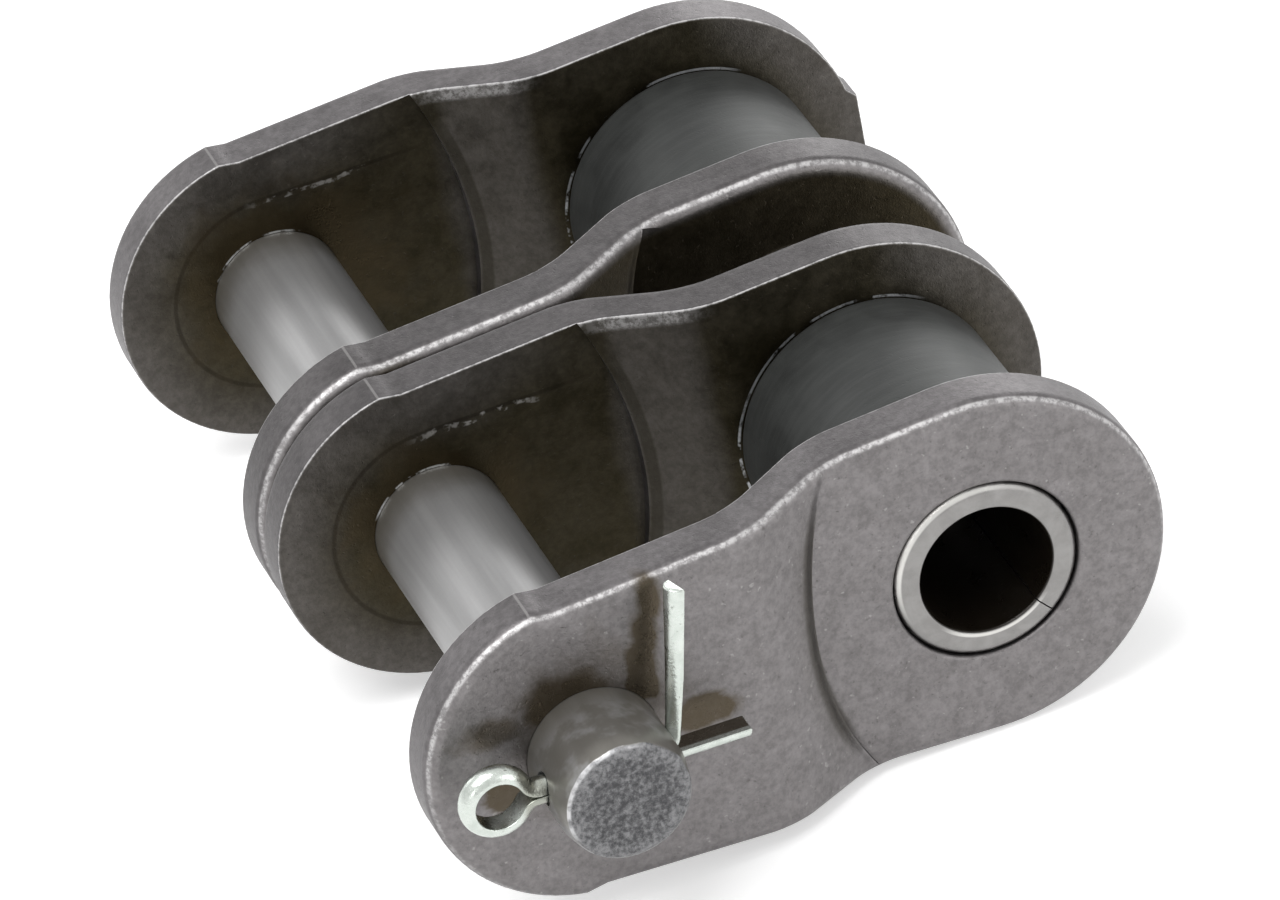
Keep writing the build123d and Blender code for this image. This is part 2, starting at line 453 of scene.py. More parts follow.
def coin_dirt_and_shade(tree, at, colour):
    """Dirt and painted shade under the coined wall of the outer side, and past that of the inner
    side.
    """
    past_lip = tree.plus(at.past_outer_arc, -0.2 * MM)
    under_lip = tree.band(past_lip, 0.0, 0.3 * MM, 0.35 * MM)
    outer_dirt_and_shade = tree.times(under_lip, tree.ramp(at.outward, 0.1, 0.4))
    past_wall = tree.band(at.past_inner_arc, 0.4 * MM, 0.22 * MM, 0.2 * MM)
    inner_dirt_and_shade = tree.times(past_wall, at.inner)
    fade = tree.ramp(tree.size(at.z), 6.0 * MM, 9.2 * MM, 1.0, 0.0)
    darkening = tree.times(tree.plus(outer_dirt_and_shade, inner_dirt_and_shade), fade)
    colour = tree.blend_in(darkening, 0.6, colour, ARC_DIRT_AND_SHADE)

    # A wider, fainter band of painted shade next to the lip
    lip_shade = tree.ramp(at.past_outer_arc, 2.2 * MM, 0.0)
    lip_shade = tree.times(lip_shade, tree.times(at.outer, fade))
    lip_shade = tree.times(lip_shade, tree.ramp(at.past_outer_arc, -0.3 * MM, 0.1 * MM))
    return tree.blend_in(lip_shade, 0.4, colour, ARC_PAINTED_SHADE)


def coin_lip(tree, at):
    """The plate's surface draws down towards the lip of the outer arc."""
    near_lip = tree.ramp(at.past_outer_arc, 0.75 * MM, 0.0)
    near_lip = tree.times(near_lip, tree.ramp(at.past_outer_arc, -0.02 * MM, 0.0))
    return tree.times(tree.math("POWER", near_lip, 2.0), at.outer)


def rim_wear_and_highlight(tree, at, colour):
    """Bright rubbed metal and painted highlight: a broken line along the rolled rim and a dotted
    one on the inner rim.

    The line is drawn weaker where the rim faces down: painted light from above.
    """
    at_rim = tree.ramp(at.depth, 1.0 * MM, 0.6 * MM)
    rolled = tree.times(tree.band(at.outward, 0.62, 0.05, 0.17), at_rim)
    cut = tree.times(tree.band(at.outward, -0.55, 0.33, 0.12), at_rim)
    speck_noise = tree.noise(at.place, 2400.0, detail=4.0, roughness=0.75)
    specks = tree.ramp(speck_noise, 0.4, 0.6)
    rubbed_and_lit = tree.times(tree.scaled(cut, 1.6, rolled), tree.scaled(specks, 0.7, 0.3))
    # Painted light: the rim line is brighter where it faces up
    lit_from_above = tree.ramp(at.facing_z, -0.2, 0.4, 0.35, 1.0)
    rubbed_and_lit = tree.times(rubbed_and_lit, lit_from_above, clamp=True)
    return tree.blend_in(rubbed_and_lit, 0.75, colour, RUBBED_RIM_AND_HIGHLIGHT)


def witness_line(tree, at, colour):
    """Line left by the blanking tool across the wall at the shoulder."""
    line = tree.band(at.x, SHOULDER_X, 0.04 * MM, 0.06 * MM)
    line = tree.times(line, tree.ramp(at.depth, 0.3 * MM, 0.1 * MM))
    line = tree.times(line, tree.ramp(tree.size(at.outward), 0.5, 0.2))
    return tree.blend_in(line, 0.3, colour, WITNESS_LINE)


def rub_marks(tree, at, colour):
    """Where the next link's plates rub: an arc round the pin that runs on as a straight line."""
    behind = tree.math("MINIMUM", at.x, 0.0)
    from_line = tree.length(tree.join(behind, 0.0, at.z))
    ring = tree.band(from_line, 6.5 * MM, 0.06 * MM, 0.14 * MM)
    ring = tree.times(tree.times(ring, at.inner), tree.ramp(at.x, 8.0 * MM, 11.0 * MM, 1.0, 0.0))
    colour = tree.blend_in(ring, 0.5, colour, RUB_RING)
    wobble = tree.times(tree.noise(at.place, 700.0, detail=2.0), 0.9 * MM)
    streak = tree.band(tree.plus(at.z, wobble), 6.75 * MM, 0.10 * MM, 0.10 * MM)
    beside_pin = tree.band(at.x, 3.4 * MM, 2.6 * MM, 2.0 * MM)
    streak = tree.times(streak, tree.times(at.inner, beside_pin))
    broken = tree.ramp(tree.noise(at.place, 1500.0, detail=3.0), 0.46, 0.6)
    return tree.blend_in(tree.times(streak, broken), 0.75, colour, RUB_SCRATCH)


def painted_glint(tree, at, colour, centre, radius, slant, first, full):
    """A painted highlight on oil at a joint: a broken bright line on the inner face, over part of a
    circle.

    The line shows where up - slant * across lies past first, fully from full on, with across
    and up measured from the centre.
    """
    across = tree.minus(at.x, centre[0])
    up = tree.plus(at.z, -centre[1])
    on_ring = tree.band(tree.length(tree.join(across, 0.0, up)), radius, 0.05 * MM, 0.06 * MM)
    shown = tree.ramp(tree.minus(up, tree.times(across, slant)), first, full)
    broken = tree.ramp(tree.noise(at.place, 380.0, detail=4.0, roughness=0.7), 0.46, 0.54)
    glint = tree.times(tree.times(on_ring, shown), tree.times(broken, at.inner))
    return tree.blend_in(glint, 0.9, colour, PAINTED_GLINT_WHITE)


def plate_finish(name, outer_side, sheltered, oily_places):
    """Tumbled plate steel: mid-grey on the rolled outer side, dark and brown inside from oil and
    from painted shade between the plates.

    outer_side is -1 or 1, the way along Y that the plate's outer side faces. A sheltered plate
    faces its twin across a narrow gap, so old oil and painted shade darken its outer side, and
    painted shade darkens its wall. Each oily place is a centre, its reach along X, Y and Z, and a
    strength.
    """
    material = new_material(name)
    tree = Tree(material.node_tree)
    at = PlatePoint(tree, outer_side)
    grain = steel_grain(tree, at.place, 520.0, 7500.0)
    fine = tree.noise(at.place, 2400.0, detail=5.0, roughness=0.7)
    colour = plate_steel(tree, at, grain["Mottle"], fine, sheltered)
    colour = coin_dirt_and_shade(tree, at, colour)
    colour = rim_wear_and_highlight(tree, at, colour)
    colour = witness_line(tree, at, colour)
    colour = rub_marks(tree, at, colour)
    colour = tree.blend_in(grain["Pits"], 0.3, colour, PLATE_PIT)

    film = 0.0
    for centre, reach, strength in oily_places:
        values = {"Place": at.place, "Centre": centre, "Reach": reach}
        patch = tree.group(OIL_FILM, values)["Film"]
        film = tree.larger(film, tree.times(patch, strength, clamp=True))
    colour = tree.blend_in(film, 0.86, colour, PLATE_OIL)
    roughness = tree.scaled(grain["Mottle"], 0.12, 0.4)
    roughness = tree.minus(roughness, tree.times(film, 0.18))

    # Painted highlights on the oil where the roller and where the pin meet the inner face
    for glint in ROLLER_PAINTED_GLINT, PIN_PAINTED_GLINT:
        colour = painted_glint(tree, at, colour, *glint)
    metallic = tree.minus(1.0, tree.times(tree.larger(film, at.inner), 0.12))
    height = tree.scaled(coin_lip(tree, at), -6.0, grain["Height"])
    height = tree.scaled(fine, 0.5, height)
    finish_shader(tree, colour, roughness, height, 0.03 * MM, metallic)
    return material


# Centre, radius, slant, and where the painted glint starts and is full
ROLLER_PAINTED_GLINT = ((PITCH + 0.14 * MM, -0.4 * MM), 8.02 * MM, 0.9, 2.0 * MM, 5.0 * MM)
PIN_PAINTED_GLINT = ((0.03 * MM, -0.06 * MM), 4.1 * MM, 0.3, 2.9 * MM, 3.4 * MM)


# ---- finishes of the pin, bushes, rollers and split pin ----
def pin_finish():
    """Ground pin: satin and softly streaked along its length, with a dark speckled end."""
    material = new_material("ground pin steel")
    tree = Tree(material.node_tree)
    place = tree.place()
    at = tree.split(place)
    lengthwise = tree.stretch(place, (1.0, 0.035, 1.0))
    streaks = tree.noise(lengthwise, 1300.0, detail=5.0, roughness=0.6)
    fine = tree.noise(place, 5200.0, detail=3.0, roughness=0.7)
    clouds = tree.noise(place, 300.0, detail=4.0, roughness=0.6)
    colour = tree.mix(tree.ramp(streaks, 0.25, 0.75), *PIN_GREY)
    colour = tree.blend_in(fine, 0.22, colour, PIN_GRAIN)

    # A brown film of oil where the pin meets each plate, and over the stub at the split pin
    film = 0.0
    outer_inside = 26.0 * MM
    inner_inside = 3.3 * MM
    for face_y in (-HALF_LINK, -outer_inside, -inner_inside, inner_inside, outer_inside, HALF_LINK):
        off = tree.size(tree.minus(at["Y"], face_y))
        ragged = tree.scaled(clouds, -2.4 * MM, off)
        film = tree.larger(film, tree.ramp(ragged, -0.9 * MM, 2.4 * MM, 1.0, 0.0))
    on_stub = tree.ramp(at["Y"], -HALF_LINK, -HALF_LINK - 0.5 * MM)
    stub = tree.times(tree.ramp(clouds, 0.36, 0.56), on_stub)
    colour = tree.blend_in(tree.larger(film, stub), 0.68, colour, PIN_OIL)

    # The cropped ends: a dark grainy face inside a paler rim
    rim = tree.ramp(tree.length(tree.join(at["X"], 0.0, at["Z"])), 2.3 * MM, 3.5 * MM)
    end_noise = tree.noise(place, 2900.0, detail=5.0, roughness=0.75)
    crystals = tree.ramp(tree.scaled(rim, 0.09, end_noise), 0.36, 0.76)
    end_colour = tree.mix(crystals, *PIN_END_GREY)
    facing_end = tree.size(tree.split(tree.facing())["Y"])
    end = tree.ramp(facing_end, 0.4, 0.62)
    colour = tree.mix(end, colour, end_colour)

    # Painted highlight: the corner of the end is drawn bright on its upper side, towards -X
    corner = tree.band(facing_end, 0.62, 0.16, 0.16)
    corner = tree.times(corner, tree.ramp(tree.minus(at["Z"], at["X"]), 1.4 * MM, 3.6 * MM))
    broken = tree.ramp(tree.noise(place, 1300.0, detail=4.0), 0.38, 0.58, 0.25, 1.0)
    colour = tree.blend_in(tree.times(corner, broken), 0.75, colour, PIN_CORNER_HIGHLIGHT)
    roughness = tree.scaled(end, 0.1, 0.36)
    metallic = tree.scaled(end, 0.3, 0.55)
    height = tree.scaled(end_noise, end, tree.times(streaks, 0.06))
    finish_shader(tree, colour, roughness, height, 0.05 * MM, metallic)
    return material


def bush_finish():
    """Bush steel: satin end with painted highlights on its rounded corners, and a dark oily bore.

    Painted highlights: the outer corner is drawn bright on its upper side, towards -X, and the
    bore's at the bottom.
    """
    material = new_material("bush steel")
    tree = Tree(material.node_tree)
    place = tree.place()
    at = tree.split(place)
    grain = steel_grain(tree, place, 700.0, 7000.0)
    across = tree.minus(at["X"], PITCH)
    radius = tree.length(tree.join(across, 0.0, at["Z"]))
    bore_start = BUSH_BORE_RADIUS + 0.07 * MM
    bore_end = BUSH_BORE_RADIUS + 0.14 * MM
    bore = tree.ramp(radius, bore_start, bore_end, 1.0, 0.0)
    darkening = tree.ramp(radius, BUSH_RADIUS - 0.14 * MM, BUSH_RADIUS - 0.02 * MM)
    colour = tree.mix(grain["Mottle"], *BUSH_GREY)
    # Painted highlights on the outer corner's upper side and on the bore's corner at the bottom
    upper_side = tree.ramp(tree.minus(at["Z"], across), 2.5 * MM, 7.0 * MM)
    outer_corner_highlight = tree.times(tree.band(radius, 5.38 * MM, 0.1 * MM, 0.12 * MM), upper_side)
    bottom = tree.ramp(at["Z"], -2.6 * MM, -3.9 * MM)
    bore_corner_highlight = tree.times(tree.band(radius, 4.24 * MM, 0.05 * MM, 0.09 * MM), bottom)
    colour = tree.blend_in(tree.larger(outer_corner_highlight, bore_corner_highlight), 0.75, colour, BUSH_CORNER_HIGHLIGHT)
    colour = tree.blend_in(darkening, 0.75, colour, BUSH_DIRT)
    colour = tree.mix(bore, colour, BORE_OIL)
    roughness = tree.scaled(grain["Mottle"], 0.12, 0.27)
    metallic = tree.scaled(bore, -0.6, 1.0)
    finish_shader(tree, colour, roughness, grain["Height"], 0.02 * MM, metallic)
    return material


def roller_finish():
    """Roller steel with a dark blue-grey oxide skin, faintly brushed round."""
    material = new_material("oxidised roller steel")
    tree = Tree(material.node_tree)
    place = tree.place()
    at = tree.split(place)
    grain = steel_grain(tree, place, 300.0, 7500.0)
    brushed = tree.noise(tree.stretch(place, (0.25, 3.0, 0.25)), 900.0, detail=3.0, roughness=0.6)
    colour = tree.mix(grain["Mottle"], *ROLLER_SKIN)
    colour = tree.mix(tree.ramp(brushed, 0.4, 0.7, 0.0, 0.2), colour, ROLLER_BRUSHED)
    radius = tree.from_axis(at["X"], at["Z"], PITCH)
    rim = tree.ramp(radius, ROLLER_RADIUS - 0.05 * MM, ROLLER_RADIUS - 0.2 * MM)
    colour = tree.blend_in(rim, 0.5, colour, ROLLER_RIM)
    roughness = tree.scaled(grain["Mottle"], 0.08, 0.46)
    finish_shader(tree, colour, roughness, grain["Height"], 0.015 * MM, 0.45)
    return material


def split_pin_finish():
    """Zinc plated wire, bright with a faint green cast."""
    material = new_material("zinc plated wire")
    tree = Tree(material.node_tree)
    place = tree.place()
    at = tree.split(place)
    grain = steel_grain(tree, place, 900.0, 5000.0)
    colour = tree.mix(grain["Mottle"], *ZINC)
    colour = tree.blend_in(grain["Pits"], 0.3, colour, ZINC_PIT)

    # The flat side of the straight leg is painted dark brown, a painted reflection of the brown
    # plate, and the neck is stained
    leg_reflection = tree.ramp(tree.split(tree.facing())["Z"], 0.85, 0.97)
    leg_reflection = tree.times(leg_reflection, tree.ramp(at["X"], 3.6 * MM, 4.0 * MM))
    leg_reflection = tree.times(leg_reflection, tree.ramp(at["Y"], LEG_Y - 0.45 * MM, LEG_Y - 0.3 * MM))
    leg_reflection = tree.times(leg_reflection, tree.ramp(at["Z"], 3.0 * MM, 2.0 * MM))
    colour = tree.blend_in(leg_reflection, 0.88, colour, LEG_PAINTED_REFLECTION)
    neck = tree.band(at["X"], -4.6 * MM, 0.5 * MM, 0.7 * MM)
    colour = tree.blend_in(neck, 0.5, colour, NECK_STAIN)
    roughness = tree.scaled(grain["Mottle"], 0.12, 0.2)
    finish_shader(tree, colour, roughness, grain["Height"], 0.03 * MM)
    return material


# ---- steps of modelling ----
def pick(piece):
    """Makes a piece the only one selected, and active."""
    bpy.ops.object.select_all(action="DESELECT")
    piece.select_set(True)
    bpy.context.view_layer.objects.active = piece


def select_points(test):
    """Selects the points of the mesh in edit mode that pass a test of their place."""
    bpy.ops.mesh.select_mode(type="VERT")
    mesh = bmesh.from_edit_mesh(bpy.context.object.data)
    for point in mesh.verts:
        point.select_set(test(point.co))
    mesh.select_flush_mode()
    bmesh.update_edit_mesh(bpy.context.object.data)


def select_edges(test):
    """Selects the edges of the mesh in edit mode that pass a test of the edge."""
    bpy.ops.mesh.select_mode(type="EDGE")
    mesh = bmesh.from_edit_mesh(bpy.context.object.data)
    for edge in mesh.edges:
        edge.select_set(edge.is_manifold and test(edge))
    bmesh.update_edit_mesh(bpy.context.object.data)


def round_edges(test, width, segments, limited=False):
    """Rounds the edges that pass a test, limited to where the roundings don't overlap."""
    select_edges(test)
    bpy.ops.mesh.bevel(offset=width, segments=segments, profile=0.5, clamp_overlap=limited)


def is_chamfer(edge):
    low_angle, high_angle = CHAMFER_ANGLES
    return low_angle < edge.calc_face_angle() < high_angle


def is_ring(edge, radius, slack):
    """True for an edge across Y that lies on a circle round the bush's axis."""
    ends = [point.co for point in edge.verts]
    off_circle = [abs(Vector((end.x - PITCH, end.z)).length - radius) for end in ends]
    return max(off_circle) < slack and abs(ends[0].y - ends[1].y) < 0.01 * MM


def cylinder_along_y(x, radius, low_y, high_y, sides):
    """Cylinder along Y, used as a cutter or as an end of the plate's blank."""
    bpy.ops.object.select_all(action="DESELECT")
    bpy.ops.mesh.primitive_cylinder_add(
        vertices=sides,
        radius=radius,
        depth=high_y - low_y,
        location=(x, (low_y + high_y) / 2, 0.0),
        rotation=(radians(90.0), 0.0, 0.0),
    )
    bpy.ops.object.transform_apply(location=True, rotation=True, scale=True)
    return bpy.context.object


def combine(piece, tool, operation):
    """Cuts or intersects a piece with a tool, which is used up."""
    pick(piece)
    step = piece.modifiers.new(operation.lower(), "BOOLEAN")
    step.operation = operation
    step.object = tool
    step.solver = "EXACT"
    bpy.ops.object.modifier_apply(modifier=step.name)
    bpy.data.objects.remove(tool)


def smooth_finish(piece):
    """Smooth shading that keeps the flat faces flat."""
    pick(piece)
    bpy.ops.object.shade_smooth_by_angle(angle=SHADING_ANGLE)
    weighting = piece.modifiers.new("flat faces stay flat", "WEIGHTED_NORMAL")
    weighting.keep_sharp = True
    bpy.ops.object.modifier_apply(modifier=weighting.name)


def hand_over(piece, name, body, material):
    """Gives a finished shape its material and lets it stand for the CAD node."""
    piece.name = name + "_steel"
    smooth_finish(piece)
    for slot in piece.material_slots:
        slot.material = material
    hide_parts(name)
    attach(piece, body)


# ---- plates ----
def bent_strip():
    """Strip of steel with the crank pressed into it; its pin end's outer face is at y = 0."""
    middle = (13.5 * MM, PLATE_THICKNESS / 2, 0.0)
    bpy.ops.object.select_all(action="DESELECT")
    bpy.ops.mesh.primitive_cube_add(size=1.0, location=middle)
    bpy.ops.transform.resize(value=(60.0 * MM, PLATE_THICKNESS, 30.0 * MM))
    bpy.ops.object.transform_apply(location=True, rotation=True, scale=True)
    strip = bpy.context.object
    bpy.ops.object.mode_set(mode="EDIT")
    for bend_x in (CRANK_X, CRANK_END_X):
        bpy.ops.mesh.select_all(action="SELECT")
        bpy.ops.mesh.bisect(plane_co=(bend_x, 0.0, 0.0), plane_no=(1.0, 0.0, 0.0))
    select_points(lambda p: p.x > CRANK_END_X - 0.1 * MM)
    bpy.ops.transform.translate(value=(0.0, CRANK_OFFSET, 0.0))
    crests = ((CRANK_X, 0.0), (CRANK_END_X, PLATE_THICKNESS + CRANK_OFFSET))
    feet = ((CRANK_X, PLATE_THICKNESS), (CRANK_END_X, CRANK_OFFSET))
    for bends, segments in ((crests, 8), (feet, 6)):
        round_edges(lambda edge: runs_up_at(edge, bends), BEND_WIDTH, segments)
    bpy.ops.object.mode_set(mode="OBJECT")
    return strip


def runs_up_at(edge, places):
    """True for an upright edge at one of the places, which are x and y."""
    ends = [Vector((point.co.x, point.co.y)) for point in edge.verts]
    return any(all((end - Vector(place)).length < 0.05 * MM for end in ends) for place in places)


def blank_outline(with_tab):
    """Block with the outline of a plate: two round ends, straight edges and the shoulders.

    The tab is the flat end left where the blank was parted from the strip.
    """
    low_y = -5.0 * MM
    high_y = 12.0 * MM
    block = cylinder_along_y(0.0, PIN_END_RADIUS, low_y, high_y, 96)
    bush_end = cylinder_along_y(PITCH, BUSH_END_RADIUS, low_y, high_y, 108)
    pick(block)
    bush_end.select_set(True)
    bpy.ops.object.join()
    bpy.ops.object.mode_set(mode="EDIT")
    bpy.ops.mesh.select_all(action="SELECT")
    bpy.ops.mesh.convex_hull()
    bpy.ops.mesh.select_all(action="SELECT")
    bpy.ops.mesh.dissolve_limited(angle_limit=radians(0.5))
    for low_x, high_x, drop in ((-0.8, -0.4, 0.38), (-1.45, -1.1, 0.215)):
        for side in (1, -1):
            select_points(lambda p: low_x * MM < p.x < high_x * MM and p.z * side > 9.0 * MM)
            bpy.ops.transform.translate(value=(0.0, 0.0, -side * drop * MM))
    if with_tab:
        select_points(lambda p: p.x > 30.0 * MM and abs(p.z) < TAB_HALF_WIDTH)
        tab_end = (TAB_END_X, 0.0, 0.0)
        bpy.ops.transform.resize(value=(0.0, 1.0, 1.0), center_override=tab_end)
    bpy.ops.object.mode_set(mode="OBJECT")
    return block


def is_rim(edge, side):
    """True for an edge between the side wall and the face on one side (-1 outer, 1 inner)."""
    flattest = min(abs(face.normal.y) for face in edge.link_faces)
    towards = max(face.normal.y * side for face in edge.link_faces)
    return flattest < 0.2 and towards > 0.7


def make_plate(with_tab):
    """One cranked plate with rolled outer rim, coined arcs and holes."""
    plate = bent_strip()
    combine(plate, blank_outline(with_tab), "INTERSECT")
    bpy.ops.object.mode_set(mode="EDIT")
    bpy.ops.mesh.select_all(action="SELECT")
    bpy.ops.mesh.remove_doubles(threshold=0.002 * MM)
    round_edges(lambda edge: is_rim(edge, -1), ROLLED_RIM, 6)
    round_edges(lambda edge: is_rim(edge, 1), INNER_RIM, 2)
    bpy.ops.object.mode_set(mode="OBJECT")

    # The coining stops a hair short of the flat faces; the hole cutters run right through
    hair = 0.002 * MM
    cuts = (
        (INNER_COIN_X, INNER_COIN_RADIUS, PLATE_THICKNESS + hair, 14.0 * MM, 360),
        (OUTER_COIN_X, OUTER_COIN_RADIUS, -6.0 * MM, CRANK_OFFSET - hair, 300),
        (0.0, PIN_HOLE_RADIUS, -7.0 * MM, 15.0 * MM, 80),
        (PITCH, BUSH_RADIUS, -7.0 * MM, 15.0 * MM, 112),
    )
    for cut in cuts:
        combine(plate, cylinder_along_y(*cut), "DIFFERENCE")
    bpy.ops.object.mode_set(mode="EDIT")
    round_edges(lambda edge: is_ring(edge, BUSH_RADIUS, 0.02 * MM), SEAT_RIM, 3)
    bpy.ops.object.mode_set(mode="OBJECT")
    return plate


def place_plate(pattern, name, outer_y, inward, material):
    """A copy of a pattern, put where a CAD plate is; inward is the way it is cranked along Y."""
    pick(pattern)
    bpy.ops.object.duplicate()
    plate = bpy.context.object
    bpy.ops.object.mode_set(mode="EDIT")
    bpy.ops.mesh.select_all(action="SELECT")
    if inward < 0:
        bpy.ops.transform.resize(value=(1.0, -1.0, 1.0), center_override=(0.0, 0.0, 0.0))
    bpy.ops.transform.translate(value=(0.0, outer_y, 0.0))
    bpy.ops.mesh.normals_make_consistent(inside=False)
    bpy.ops.object.mode_set(mode="OBJECT")
    plate.data.materials.append(material)
    hand_over(plate, name, "link", material)


# ---- pin, split pin, bushes and rollers ----
def merged_copy(name):
    """A copy of a CAD node as one closed mesh, left in edit mode."""
    pick(nodes[name])
    bpy.ops.object.duplicate()
    bpy.ops.object.mode_set(mode="EDIT")
    bpy.ops.mesh.select_all(action="SELECT")
    bpy.ops.mesh.remove_doubles(threshold=0.001 * MM)
    bpy.ops.mesh.customdata_custom_splitnormals_clear()
    bpy.ops.mesh.dissolve_limited(angle_limit=radians(1.0))
    return bpy.context.object


def round_corners(chamfer_width, corner_width):
    """Rounds the edges of chamfers, then the square corners, of the mesh in edit mode."""
    round_edges(is_chamfer, chamfer_width, 3, limited=True)
    round_edges(lambda edge: edge.calc_face_angle() > CORNER_ANGLE, corner_width, 3, limited=True)
    bpy.ops.object.mode_set(mode="OBJECT")


def make_pin(material):
    """Pin whose front end tapers gently to the cropped face."""
    front_y = cad_low.y
    back_y = -cad_low.y - 6.0 * MM
    pin = merged_copy("connecting_pin")
    select_points(lambda p: p.y < front_y + 0.6 * MM and Vector((p.x, p.z)).length > 3.8 * MM)
    bpy.ops.transform.translate(value=(0.0, 1.0 * MM, 0.0))
    for at_end, width in (
        (lambda y: y < front_y + 0.1 * MM, 0.16 * MM),
        (lambda y: y > back_y, 0.2 * MM),
    ):
        round_edges(
            lambda edge: all(at_end(point.co.y) for point in edge.verts)
            and edge.calc_face_angle() > SHARP_ANGLE,
            width,
            3,
        )
    bpy.ops.object.mode_set(mode="OBJECT")
    hand_over(pin, "connecting_pin", "link", material)


def make_split_pin(material):
    """Split pin whose long leg stands close to the pin and reaches well up the plate."""
    bend_height = 4.6 * MM
    straight_leg_x = 6.3 * MM
    wire = merged_copy("split_pin")
    bpy.ops.mesh.select_all(action="SELECT")
    bpy.ops.mesh.bisect(plane_co=(0.0, 0.0, bend_height), plane_no=(0.0, 0.0, 1.0))

    # The whole bend moves towards the pin, and its foot is narrowed
    select_points(lambda p: p.x > 3.3 * MM and not (p.x > straight_leg_x and p.z < 1.0 * MM))
    bpy.ops.transform.translate(value=(-0.6 * MM, 0.0, 0.45 * MM))
    select_points(lambda p: 2.9 * MM < p.x < 5.4 * MM and p.z < 3.0 * MM)
    bpy.ops.transform.resize(value=(1.0, 0.55, 1.0), center_override=(0.0, LEG_Y, 0.0))

    # The top of the long leg is raised and turned, and the straight leg's end is lifted
    select_points(lambda p: p.x > 3.0 * MM and p.z > 6.0 * MM)
    bpy.ops.transform.translate(value=(0.0, 0.0, 1.1 * MM))
    top = (5.8 * MM, LEG_Y, 10.0 * MM)
    bpy.ops.transform.rotate(value=radians(-15.0), orient_axis="Z", center_override=top)
    select_points(lambda p: p.x > straight_leg_x and p.z < 0.4 * MM)
    bpy.ops.transform.translate(value=(0.3 * MM, 0.0, 1.15 * MM))
    round_corners(0.1 * MM, 0.14 * MM)
    hand_over(wire, "split_pin", "link", material)


def make_bush(strand, material):
    """Curled bush with its seam nearly closed and the edge of its bore rounded."""
    name = "bush_" + strand
    bush = merged_copy(name)
    out_x = cos(SEAM_ANGLE)
    out_z = -sin(SEAM_ANGLE)
    shift = 0.06 * MM
    for side in (1, -1):
        select_points(
            lambda p: (p.x - PITCH) * out_x + p.z * out_z > 3.0 * MM
            and 0.02 * MM < side * (p.z * out_x - (p.x - PITCH) * out_z) < 0.12 * MM
        )
        bpy.ops.transform.translate(value=(side * shift * out_z, 0.0, -side * shift * out_x))
    round_edges(lambda edge: is_ring(edge, BUSH_BORE_RADIUS, 0.03 * MM), 0.24 * MM, 4)
    round_edges(is_chamfer, 0.26 * MM, 4, limited=True)
    bpy.ops.object.mode_set(mode="OBJECT")
    hand_over(bush, name, "link", material)


def make_roller(strand, material):
    name = "roller_" + strand
    roller = merged_copy(name)
    round_corners(0.25 * MM, 0.1 * MM)
    hand_over(roller, name, strand + "_roller", material)


def patch(x, y, z, along, up, strength):
    """An oil patch on a plate: its centre, its reach along X, Y and Z, and its strength."""
    return (x * MM, y, z * MM), (along * MM, 4.0 * MM, up * MM), strength


FRONT_FACE = -HALF_LINK
front_oil = (
    patch(0.3, FRONT_FACE, 1.4, 8.6, 8.0, 0.5),
    patch(-0.9, FRONT_FACE, 3.9, 5.0, 2.9, 1.0),
    patch(3.4, FRONT_FACE, 3.0, 1.7, 1.8, 1.8),
    patch(3.7, FRONT_FACE, 4.4, 1.5, 2.9, 1.4),
    patch(4.2, FRONT_FACE, 6.3, 1.4, 2.9, 1.3),
    patch(4.75, FRONT_FACE, 8.2, 1.3, 2.3, 1.3),
    patch(6.6, FRONT_FACE, -0.1, 3.2, 1.8, 1.6),
    patch(-5.4, FRONT_FACE, -0.9, 2.2, 2.0, 1.5),
    patch(-5.6, FRONT_FACE, 3.3, 3.4, 1.7, 0.8),
)
inner_front_oil = (patch(0.0, -3.3 * MM, 0.5, 9.0, 8.0, 0.8),)
inner_back_oil = (patch(0.0, 3.3 * MM, 0.5, 9.0, 8.0, 0.8),)
back_oil = (patch(1.5, 26.0 * MM, 1.0, 11.0, 9.0, 0.8),)

# Name, outer face, the way along Y that it is cranked, whether it is sheltered, and its oil
plates = (
    ("outer_plate_front", -HALF_LINK, 1, False, front_oil),
    ("inner_plate_front", -MIDDLE_PLATE_FACE, -1, True, inner_front_oil),
    ("inner_plate_back", MIDDLE_PLATE_FACE, 1, True, inner_back_oil),
    ("outer_plate_back", HALF_LINK, -1, False, back_oil),
)
plain_pattern = make_plate(False)
tabbed_pattern = make_plate(True)
for plate_name, outer_y, inward, sheltered, oil in plates:
    steel = plate_finish(plate_name.replace("_", " ") + " steel", -inward, sheltered, oil)
    pattern = tabbed_pattern if plate_name == TABBED_PLATE else plain_pattern
    place_plate(pattern, plate_name, outer_y, inward, steel)
bpy.data.objects.remove(plain_pattern)
bpy.data.objects.remove(tabbed_pattern)

make_pin(pin_finish())
make_split_pin(split_pin_finish())
bush_material = bush_finish()
roller_material = roller_finish()
for strand in ("front", "back"):
    make_bush(strand, bush_material)
    make_roller(strand, roller_material)


# ---- floor, light and camera ----
def studio_rays(tree):
    """1 for rays of the camera, of gloss and through glass, which see the pale studio."""
    rays = tree.add("ShaderNodeLightPath").outputs
    seen = tree.plus(rays["Is Camera Ray"], rays["Is Glossy Ray"])
    return tree.plus(seen, rays["Is Transmission Ray"], clamp=True)


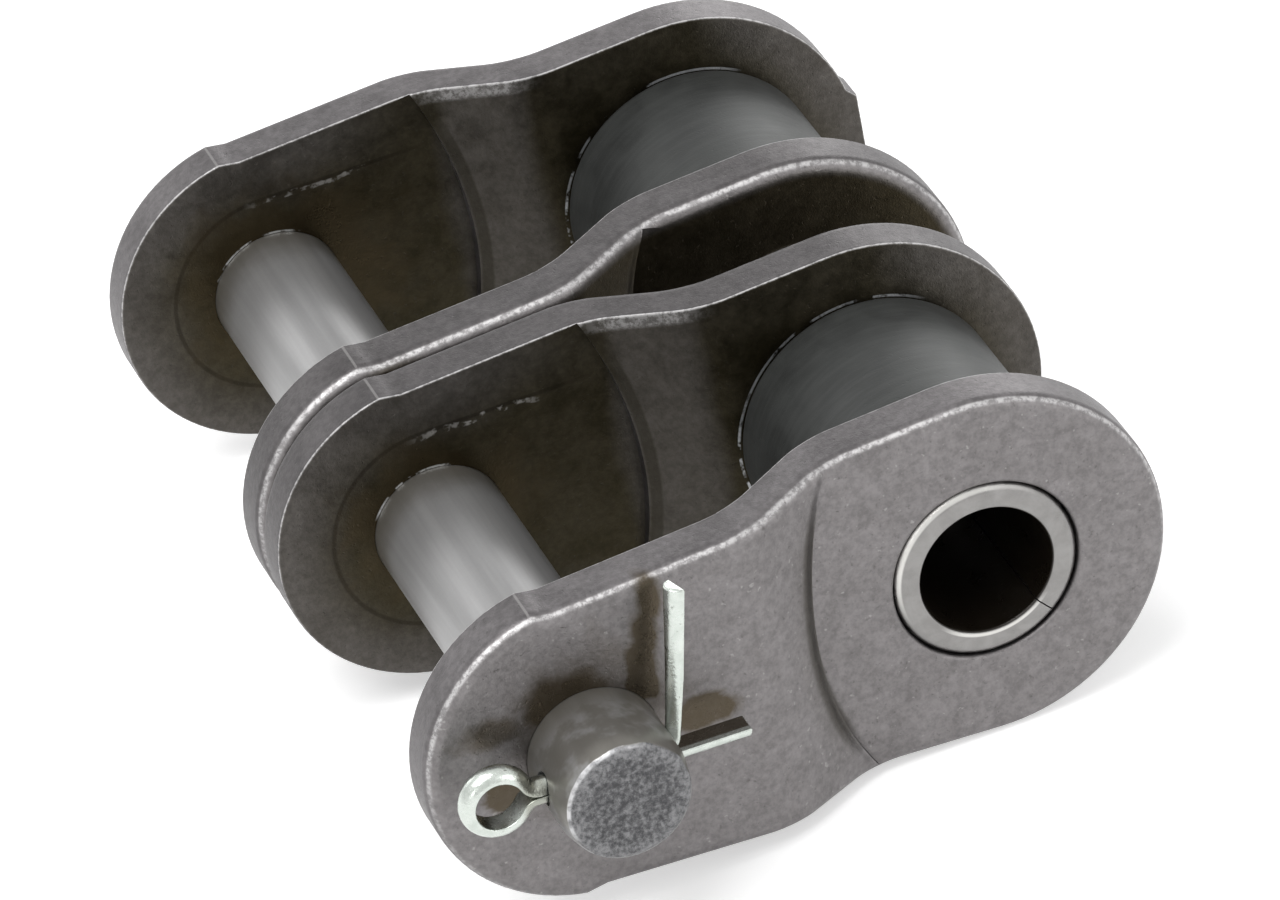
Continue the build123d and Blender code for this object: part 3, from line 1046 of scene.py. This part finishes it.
def make_floor():
    """Wide pale floor under the lowest edges of the plates."""
    floor_gap = 0.02 * MM
    bpy.ops.object.select_all(action="DESELECT")
    bpy.ops.mesh.primitive_plane_add(size=6.0, location=(0.0, 0.0, cad_low.z - floor_gap))
    floor = bpy.context.object
    floor.name = "floor"
    material = new_material("pale floor")
    tree = Tree(material.node_tree)
    diffuse = tree.add("ShaderNodeBsdfDiffuse")
    diffuse.inputs["Color"].default_value = FLOOR_WHITE
    glow = tree.add("ShaderNodeEmission")
    tree.link(tree.times(studio_rays(tree), 0.45), glow.inputs["Strength"])
    both = tree.add("ShaderNodeAddShader")
    tree.link(diffuse.outputs[0], both.inputs[0])
    tree.link(glow.outputs[0], both.inputs[1])
    output = tree.add("ShaderNodeOutputMaterial")
    tree.link(both.outputs[0], output.inputs["Surface"])
    floor.data.materials.append(material)


def make_world():
    """Pale studio that looks white to the camera and lights the link less strongly."""
    world = bpy.data.worlds.new("studio")
    scene.world = world
    world.use_nodes = True
    world.node_tree.nodes.clear()
    tree = Tree(world.node_tree)
    sky = tree.add("ShaderNodeBackground")
    sky.inputs["Color"].default_value = SKY_WHITE
    tree.link(tree.scaled(studio_rays(tree), 0.55, 0.45), sky.inputs["Strength"])
    output = tree.add("ShaderNodeOutputWorld")
    tree.link(sky.outputs[0], output.inputs["Surface"])


def add_softbox(name, place, size, watts):
    """Square lamp that faces the middle of the link."""
    link_middle = Vector((0.01, 0.0, 0.0))
    bpy.ops.object.light_add(type="AREA", location=place)
    lamp = bpy.context.object
    lamp.name = name
    lamp.data.shape = "SQUARE"
    lamp.data.size = size
    lamp.data.energy = watts
    lamp.rotation_euler = (link_middle - Vector(place)).to_track_quat("-Z", "Y").to_euler()


def make_camera():
    sensor_width = 36.0
    focal_pixels = 10503.48
    frame_pixels = 1280
    bpy.ops.object.camera_add()
    camera = bpy.context.object
    camera.data.sensor_fit = "HORIZONTAL"
    camera.data.sensor_width = sensor_width
    camera.data.lens = focal_pixels * sensor_width / frame_pixels
    camera.data.clip_start = 0.01
    camera.data.clip_end = 20.0
    right = Vector((0.9235, -0.3472, -0.1630))
    down = Vector((-0.3236, -0.4771, -0.8171))
    forward = Vector((0.2059, 0.8074, -0.5530))
    turn = Matrix((right, -down, -forward)).transposed().to_4x4()
    place = Vector((-113.091, -496.025, 337.846)) * MM
    camera.matrix_world = Matrix.Translation(place) @ turn
    scene.camera = camera


softboxes = (
    ("key softbox", (-0.2, -0.14, 0.55), 0.4, 2.2),
    ("fill softbox", (0.45, -0.5, 0.25), 0.4, 0.8),
    ("back left softbox", (-0.25, 0.48, 0.25), 0.26, 0.25),
    ("back right softbox", (0.31, 0.48, 0.18), 0.28, 0.7),
    ("front left softbox", (-0.4, -0.42, 0.2), 0.11, 0.16),
)
make_floor()
make_world()
for softbox in softboxes:
    add_softbox(*softbox)
make_camera()
scene.view_settings.view_transform = "Standard"
